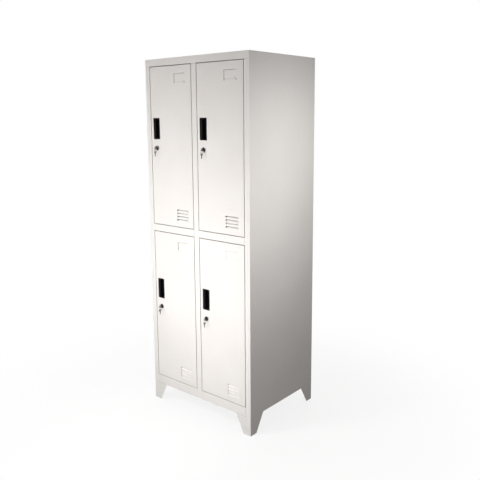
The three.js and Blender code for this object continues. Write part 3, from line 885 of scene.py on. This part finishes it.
def door_panel(door):
    node = f"{door}_door_panel"
    low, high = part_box(node)
    depth = high.y - low.y
    place = Place(Vector((0, low.y, 0)), X, Z, Y)

    card_x = (high.x - CARD["from_hinge"] - CARD["width"], high.x - CARD["from_hinge"])
    card_z = (high.z - CARD["below_top"] - CARD["height"], high.z - CARD["below_top"])
    slot_x = (high.x - LOUVRE_FROM_HINGE - LOUVRE["length"], high.x - LOUVRE_FROM_HINGE)
    slots_z = [low.z + LOUVRE_ABOVE_BOTTOM + row * LOUVRE["pitch"] for row in range(LOUVRE["count"])]
    flap_x = (slot_x[0] + LOUVRE_END, slot_x[1] - LOUVRE_END)
    pull_low, pull_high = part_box(f"{door}_handle")
    hole_inset = HANDLE_LIP - FREE
    hole_x = (pull_low.x + hole_inset, pull_high.x - hole_inset)
    hole_z = (pull_low.z + hole_inset, pull_high.z - hole_inset)

    def press(x, z):
        depth_in = 0
        if card_x[0] < x < card_x[1] and card_z[0] < z < card_z[1]:
            run_in = min((card_x[1] - x) / CARD_RAMP, (z - card_z[0]) / CARD_RAMP)
            depth_in = CARD["sunk"] * smooth(run_in)
        for z0 in slots_z:
            rise = LOUVRE["height"] - LOUVRE_CUT
            if z0 < z <= z0 + rise + 1e-7 and flap_x[0] - 1e-7 <= x <= flap_x[1] + 1e-7:
                share = (z - z0) / rise
                depth_in += LOUVRE["deep"] * (0.3 * smooth(share) + 0.7 * share)
        return depth_in

    def keep(x, z):
        if hole_x[0] < x < hole_x[1] and hole_z[0] < z < hole_z[1]:
            return False
        if card_x[0] < x < card_x[1] and card_z[0] < z < card_z[1]:
            return x > card_x[0] + CARD_SLIT and z < card_z[1] - CARD_SLIT
        for z0 in slots_z:
            if z0 < z < z0 + LOUVRE["height"] and slot_x[0] < x < slot_x[1]:
                return z < z0 + LOUVRE["height"] - LOUVRE_CUT and flap_x[0] < x < flap_x[1]
        return True

    u_lines = [*hole_x, *slot_x, *steps(*flap_x, 3)]
    u_lines += [card_x[0] - MM, card_x[0], card_x[0] + CARD_SLIT]
    u_lines += [*steps(card_x[1] - CARD_RAMP, card_x[1], 4), card_x[1] + MM]
    v_lines = [*hole_z, card_z[0] - MM, *steps(card_z[0], card_z[0] + CARD_RAMP, 4)]
    v_lines += [card_z[1] - CARD_SLIT, card_z[1]]
    for z0 in slots_z:
        v_lines += [z0 - MM, *steps(z0, z0 + LOUVRE["height"] - LOUVRE_CUT, 8), z0 + LOUVRE["height"]]
    folds = {"u0": Fold(depth, DOOR_LIP), "u1": Fold(depth, DOOR_LIP), "v0": Fold(depth), "v1": Fold(depth)}
    made = pan(
        node + "_pressing", place, (low.x, high.x), (low.z, high.z), folds, u_lines, v_lines,
        press, keep, closed=True,
    )
    lock_low, lock_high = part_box(f"{door}_lock_barrel")
    lock = (lock_low + lock_high) / 2
    hinge_low, hinge_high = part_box(f"{door}_hinge_rod")
    hinge = (hinge_low + hinge_high) / 2
    tall = hinge_high.z - hinge_low.z
    card_hole = Vector((card_x[1] - CARD_HOLE[0], low.y, card_z[0] + CARD_HOLE[1]))
    carve(
        made,
        rod("cutter", lock, Y, LOCK_BODY_R + FREE, -30 * MM, 30 * MM),
        rod("cutter", hinge, Z, HINGE_HOLE_R, -tall, tall),
        rod("cutter", card_hole, Y, CARD_HOLE_R, 0, 9 * MM),
    )
    refine(node, made)
    card_lugs(door, card_x, card_z, low.y)


def card_lugs(door, card_x, card_z, front):
    """Lugs at the recess's lower corners, proud at their lower edge, that keep a number card in."""
    half_wide, half_tall = LUG["wide"] / 2, LUG["tall"] / 2
    lugs = []
    for x, sign in zip(card_x, (1, -1)):
        corner = Vector((x - sign * LUG_START[0], front, card_z[0] - LUG_START[1]))
        ring = []
        for a, b in rectangle(half_wide, half_tall, LUG["corner"]):
            proud = 0.1 * MM + LUG["lean"] * (1 - (b + half_tall) / LUG["tall"])
            ring.append(corner + X * sign * (a + half_wide) + Z * (b + half_tall) - Y * proud)
        lugs.append(prism("lug", ring, Y * LUG["thick"]))
    settle(joined(*lugs), f"{door}_door_panel", bevel=0.2 * MM).name = f"{door}_card_lugs"


STIFFENER_LIP = 10 * MM


def door_stiffener(door):
    node = f"{door}_door_stiffener"
    low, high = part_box(node)
    half = SHEET / 2
    front, rear = low.y + half, high.y - half
    middle = [
        (low.x, front),
        (low.x + STIFFENER_LIP + half, front),
        (low.x + STIFFENER_LIP + half, rear),
        (high.x - STIFFENER_LIP - half, rear),
        (high.x - STIFFENER_LIP - half, front),
        (high.x, front),
    ]
    refine(node, folded(node + "_channel", middle, (low.z, high.z)))


def hinge_rod(door):
    node = f"{door}_hinge_rod"
    low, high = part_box(node)
    half = (high.z - low.z) / 2
    refine(node, rod(node + "_bar", (low + high) / 2, Z, (high.x - low.x) / 2, -half, half))


# ---------- recessed pull ----------
PULL_WALL = 1.5 * MM
PULL_GRIP = 12 * MM  # how much of the cup's left side the gripping lip covers
PULL_BEAD = 1.6 * MM
PULL_EDGE = 1.1 * MM  # rounding of the rim's outer edge
PULL_PROUD = 2.3 * MM  # rim in front of the door's face
PULL_CORNER = 2.5 * MM
CUP_BEND = 2 * MM


def handle(door):
    """A rim on the door's face and a cup behind it, moulded in one with a gripping lip."""
    node = f"{door}_handle"
    low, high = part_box(node)
    centre = (low + high) / 2
    half_x, half_z = (high.x - low.x) / 2, (high.z - low.z) / 2
    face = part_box(f"{door}_door_panel")[0].y
    crown = face - PULL_PROUD
    floor = high.y - PULL_WALL

    def ring(inset, y, radius):
        outline = rectangle(half_x - inset, half_z - inset, radius)
        return [Vector((centre.x + a, y, centre.z + b)) for a, b in outline]

    inner = HANDLE_LIP + PULL_WALL
    bend = quarter_turn(4)
    rim = [ring(0, face - FREE, PULL_CORNER), ring(0, crown + PULL_EDGE, PULL_CORNER)]
    for t in bend[1:]:
        inset = PULL_EDGE * (1 - math.cos(t))
        rim.append(ring(inset, crown + PULL_EDGE * (1 - math.sin(t)), PULL_CORNER - inset))
    mouth = [ring(inner - MM * math.cos(t), crown + MM * math.sin(t) ** 2, 2 * MM) for t in bend]
    cup = [
        ring(inner + CUP_BEND * (1 - math.cos(t)), floor - CUP_BEND * (1 - math.sin(t)), PULL_CORNER)
        for t in bend
    ]
    back = [ring(HANDLE_LIP, high.y, 2 * MM), ring(HANDLE_LIP, face - FREE, 2 * MM)]
    skin = Skin()
    skin.bridge([back[1], *rim, *mouth, *cup], ring=True)
    skin.bridge([back[0], back[1]], ring=True)
    skin.face(*cup[-1])
    skin.face(*back[0])
    made = body(node + "_moulding", skin)

    left = low.x + inner
    bead_x, bead_y = left + PULL_GRIP, low.y + PULL_BEAD
    bead = [
        (bead_x + PULL_BEAD * math.sin(t), bead_y - PULL_BEAD * math.cos(t))
        for t in steps(-0.3, math.pi * 0.95, 12)
    ]
    section = [(left - 1 * MM, crown + 0.1 * MM), (left + 4 * MM, crown), *bead]
    section += [(left + 6 * MM, crown + 1.9 * MM), (left - 1 * MM, crown + 2.1 * MM)]
    ends = low.z + inner - 0.8 * MM, high.z - inner + 0.8 * MM
    grip = body("grip", Skin().loft([[(x, y, z) for x, y in section] for z in steps(*ends, 6)]))
    refine(node, joined(made, grip))


# ---------- lock ----------
LOCK_PLUG_R = 6 * MM
THREAD = {"pitch": 1.5 * MM, "deep": 0.5 * MM}
BEZEL = {"edge": 0.9 * MM, "rim": 2.6 * MM, "slope": 3.8 * MM, "dish": 0.8 * MM}  # the dish is a depth
LOCK_RINGS = {  # radius, near and far face behind the door's front, and corners
    "nut": (13.4 * MM, 1.2 * MM, 5.2 * MM, 6),
    "washer": (13 * MM, SHEET + 0.05 * MM, 1.15 * MM, 48),
}
KEYWAY = {"wide": 2.2 * MM, "tall": 7.6 * MM, "deep": 16 * MM}
CAM_THICK = 2 * MM
CAM_SCREW = {"radius": 5 * MM, "head": 3 * MM}


def lock_barrel(door):
    """A chrome bezel with a dished face, on a threaded barrel that its nut clamps to the door."""
    node = f"{door}_lock_barrel"
    low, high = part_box(node)
    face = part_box(f"{door}_door_panel")[0].y
    axis_point = Vector(((low.x + high.x) / 2, face, (low.z + high.z) / 2))
    bezel_r, proud = (high.x - low.x) / 2, face - low.y
    bore = LOCK_PLUG_R + FREE
    profile = [(bore, high.y - face), (LOCK_BODY_R - 0.6 * MM, high.y - face)]
    turns = int((high.y - face - 5 * MM) / THREAD["pitch"])
    for turn in range(turns):
        deep = high.y - face - 0.8 * MM - turn * THREAD["pitch"]
        profile += [(LOCK_BODY_R, deep), (LOCK_BODY_R - THREAD["deep"], deep - THREAD["pitch"] / 2)]
    profile += [(LOCK_BODY_R, 2 * MM), (LOCK_BODY_R, -FREE), (bezel_r, -FREE)]
    profile += [
        (bezel_r - BEZEL["edge"] * (1 - math.cos(t)), -proud + BEZEL["edge"] * (1 - math.sin(t)))
        for t in quarter_turn(5)
    ]
    profile += [(bezel_r - BEZEL["rim"], -proud), (bezel_r - BEZEL["slope"], BEZEL["dish"] - proud)]
    profile += [(bore + 0.6 * MM, 0.9 * MM - proud), (bore, 1.5 * MM - proud)]
    refine(node, turned(node + "_body", axis_point, Y, profile, count=64))

    for kind, (radius, near, far, count) in LOCK_RINGS.items():
        ring = [(LOCK_BODY_R, near), (radius - 0.6 * MM, near), (radius, near + 0.15 * MM)]
        ring += [(radius, far - 0.15 * MM), (radius - 0.6 * MM, far), (LOCK_BODY_R, far)]
        made = turned(f"{door}_lock_{kind}", axis_point, Y, ring, count)
        settle(made, node, look="zinc_steel")


def lock_plug(door):
    node = f"{door}_lock_plug"
    low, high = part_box(node)
    centre = (low + high) / 2
    half = (high.y - low.y) / 2
    radius = (high.x - low.x) / 2
    edge = 0.5 * MM
    profile = [(0, -half), (radius - edge, -half), (radius, edge - half), (radius, half - edge)]
    profile += [(radius - edge, half), (0, half)]
    made = turned(node + "_cylinder", centre, Y, profile)
    slot = rectangle(KEYWAY["wide"] / 2, KEYWAY["tall"] / 2, 0.6 * MM, 3)
    ring = [centre + X * a + Z * b - Y * (half + 1 * MM) for a, b in slot]
    cutter = prism("keyway", ring, Y * (KEYWAY["deep"] + 4 * MM))
    refine(node, carve(made, cutter))


def lock_cam(door):
    """The bolt arm, with the screw that holds it on the plug."""
    node = f"{door}_lock_cam"
    low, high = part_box(node)
    half = (high.x - low.x) / 2
    middle = (low.x + high.x) / 2
    top = Vector((middle, low.y, high.z - half))
    foot = Vector((middle, low.y, low.z + half))
    outline = [top + X * half * math.cos(t) + Z * half * math.sin(t) for t in steps(0, math.pi, 14)]
    outline += [foot + X * half * math.cos(t) + Z * half * math.sin(t) for t in steps(math.pi, math.tau, 14)]
    made = prism(node + "_arm", outline, Y * CAM_THICK)
    refine(node, made, bevel=0.3 * MM)
    seat = Vector((top.x, high.y + 0.1 * MM, top.z))
    screw = rod(f"{node}_screw", seat, Y, CAM_SCREW["radius"], 0, CAM_SCREW["head"], count=6)
    settle(screw, node)


# ---------- keys ----------
KEY_BOW_R = {"key": 9 * MM, "spare_key": 8 * MM}
KEY_EYE_R = 3 * MM
KEY_BLADE = {"key": 7 * MM, "spare_key": 6 * MM}
KEY_CUTS = (0.9, 1.7, 0.6, 1.3, 0.4)  # millimetres off the blade's edge, from the shoulder to the tip
KEY_NECK = 2.5 * MM  # uncut blade next to the bow
KEY_TIP = 3 * MM  # uncut blade at the tip
SPARE_EYE_DROP = 4.5 * MM  # from the spare key's eye to the middle of its bow
RING_WIRE_R = 0.6 * MM  # of the CAD node, whose ring is closed
SPLIT_RING = {"wire": 0.32 * MM, "pitch": 0.62 * MM, "turns": 1.8}


def key(door, kind, tip, bow, along, across, eye, thick):
    """A flat key from its tip to its bow: a blade with cuts, shoulders and a broad oval bow with an eye."""
    length, half, bow_r = (bow - tip).length, KEY_BLADE[kind] / 2, KEY_BOW_R[kind]
    neck = length - bow_r * 0.86
    shoulder = neck - KEY_NECK
    spacing = (shoulder - KEY_TIP) / len(KEY_CUTS)
    cuts = [(shoulder - spacing * (number + 0.5), deep * MM - half) for number, deep in enumerate(KEY_CUTS)]
    outline = [(0.0, -half * 0.3), (half * 0.7, -half), *reversed(cuts), (shoulder, -half), (neck, -half)]
    start = math.asin(half / bow_r)
    for t in steps(math.pi + start, 3 * math.pi - start, 40):
        swell = 1 + 0.06 * math.cos(4 * t)
        outline.append((length + bow_r * swell * 0.94 * math.cos(t), bow_r * swell * 0.94 * math.sin(t)))
    outline += [(neck, half), (half * 0.7, half), (0.0, half * 0.3)]
    ring = [tip + along * a + across * b - X * thick / 2 for a, b in outline]
    made = prism(f"{door}_{kind}_blank", ring, X * thick)
    cutter = rod("eye", eye, X, KEY_EYE_R, -5 * MM, 5 * MM, chamfer=0.1 * MM)
    refine(f"{door}_{kind}", carve(made, cutter), bevel=0.25 * MM)


def keys(door):
    """One key in the lock, a spare hanging below it, and the split ring that joins them."""
    ring_low, ring_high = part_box(f"{door}_key_ring")
    ring_centre = (ring_low + ring_high) / 2
    wire_r = (ring_high.z - ring_low.z) / 2 - RING_WIRE_R
    eye = ring_centre + Z * wire_r

    low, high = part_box(f"{door}_key")
    thick = high.x - low.x
    bow = Vector((eye.x, low.y + KEY_BOW_R["key"], eye.z))
    key(door, "key", Vector((eye.x, high.y, eye.z)), bow, -Y, -Z, eye, thick)

    low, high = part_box(f"{door}_spare_key")
    foot = ring_centre - Z * wire_r
    tip = Vector((foot.x, foot.y, low.z))
    key(door, "spare_key", tip, foot - Z * SPARE_EYE_DROP, Z, Y, foot, thick)

    turns = SPLIT_RING["turns"]
    spine = []
    for t in steps(0, turns * math.tau, 90):
        shift = SPLIT_RING["pitch"] * (t / math.tau - turns / 2)
        spine.append(ring_centre + Vector((math.sin(t), 0, math.cos(t))) * wire_r + Y * shift)
    rings = []
    for point in spine:
        out = (point - ring_centre).normalized()
        rings.append([point + out * a + Y * b for a, b in circle(SPLIT_RING["wire"], 10)])
    refine(f"{door}_key_ring", body(f"{door}_split_ring", Skin().loft(rings)))


# ---------- door stops ----------
DOOR_GAP = 3 * MM
STOP = {"tall": 22 * MM, "reach": 11 * MM, "thick": 1.2 * MM, "flange": 4 * MM}
STOP_SHARES = {"low": 0.14, "high": 0.86}  # of the door's height, to the tab's lower end
BUFFER = {"radius": 3.4 * MM, "tip": 2.6 * MM, "height": 1.4 * MM, "from_stile": 7.5 * MM}


def door_stops(door):
    """Two small angle tabs on the stile behind the door's free edge, each with a rubber buffer."""
    low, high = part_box(f"{door}_door_panel")
    stile = low.x - DOOR_GAP
    edge, thick, pad = stile + 0.1 * MM, STOP["thick"], BUFFER["height"]
    rear = high.y + 0.2 * MM + pad
    reach, corner, back = stile + STOP["reach"], stile + thick, rear + STOP["flange"]
    tab = [(edge, rear), (reach, rear), (reach, rear + thick), (corner, rear + thick)]
    tab += [(corner, back), (edge, back)]
    profile = [(0, 0), (BUFFER["radius"], 0), (BUFFER["radius"], pad * 0.6), (BUFFER["tip"], pad), (0, pad)]
    for name, share in STOP_SHARES.items():
        z = low.z + (high.z - low.z) * share
        rings = [[(x, y, h) for x, y in tab] for h in steps(z, z + STOP["tall"], 2)]
        made = body(f"{door}_{name}_stop", Skin().loft(rings))
        settle(made, "left_stile", bevel=0.2 * MM)
        centre = Vector((stile + BUFFER["from_stile"], rear, z + STOP["tall"] / 2))
        buffer = turned(f"{door}_{name}_buffer", centre, -Y, profile, count=24)
        settle(buffer, "left_stile", look="buffer_rubber")


make_camera()
make_studio()
LOOKS = {
    "powder_coat": powder_coat(),
    "black_plastic": black_plastic(),
    "chrome_lock": chrome(),
    "zinc_steel": zinc_steel(),
    "nickel_key": nickel_key(),
    "buffer_rubber": buffer_rubber(),
}

top_panel()
bottom_panel()
back_panel()
centre_partition()
centre_stile()
for side, sign in SIDES.items():
    side_panel(side)
    side_stile(side)
    shelf(side)
    leg(f"front_{side}_leg", sign, -1)
    leg(f"rear_{side}_leg", sign, 1)
    coat_rod(f"upper_{side}_coat_rod")
    coat_rod(f"lower_{side}_coat_rod")

for door in DOORS:
    door_panel(door)
    door_stiffener(door)
    hinge_rod(door)
    handle(door)
    lock_barrel(door)
    lock_plug(door)
    lock_cam(door)
    keys(door)
    door_stops(door)
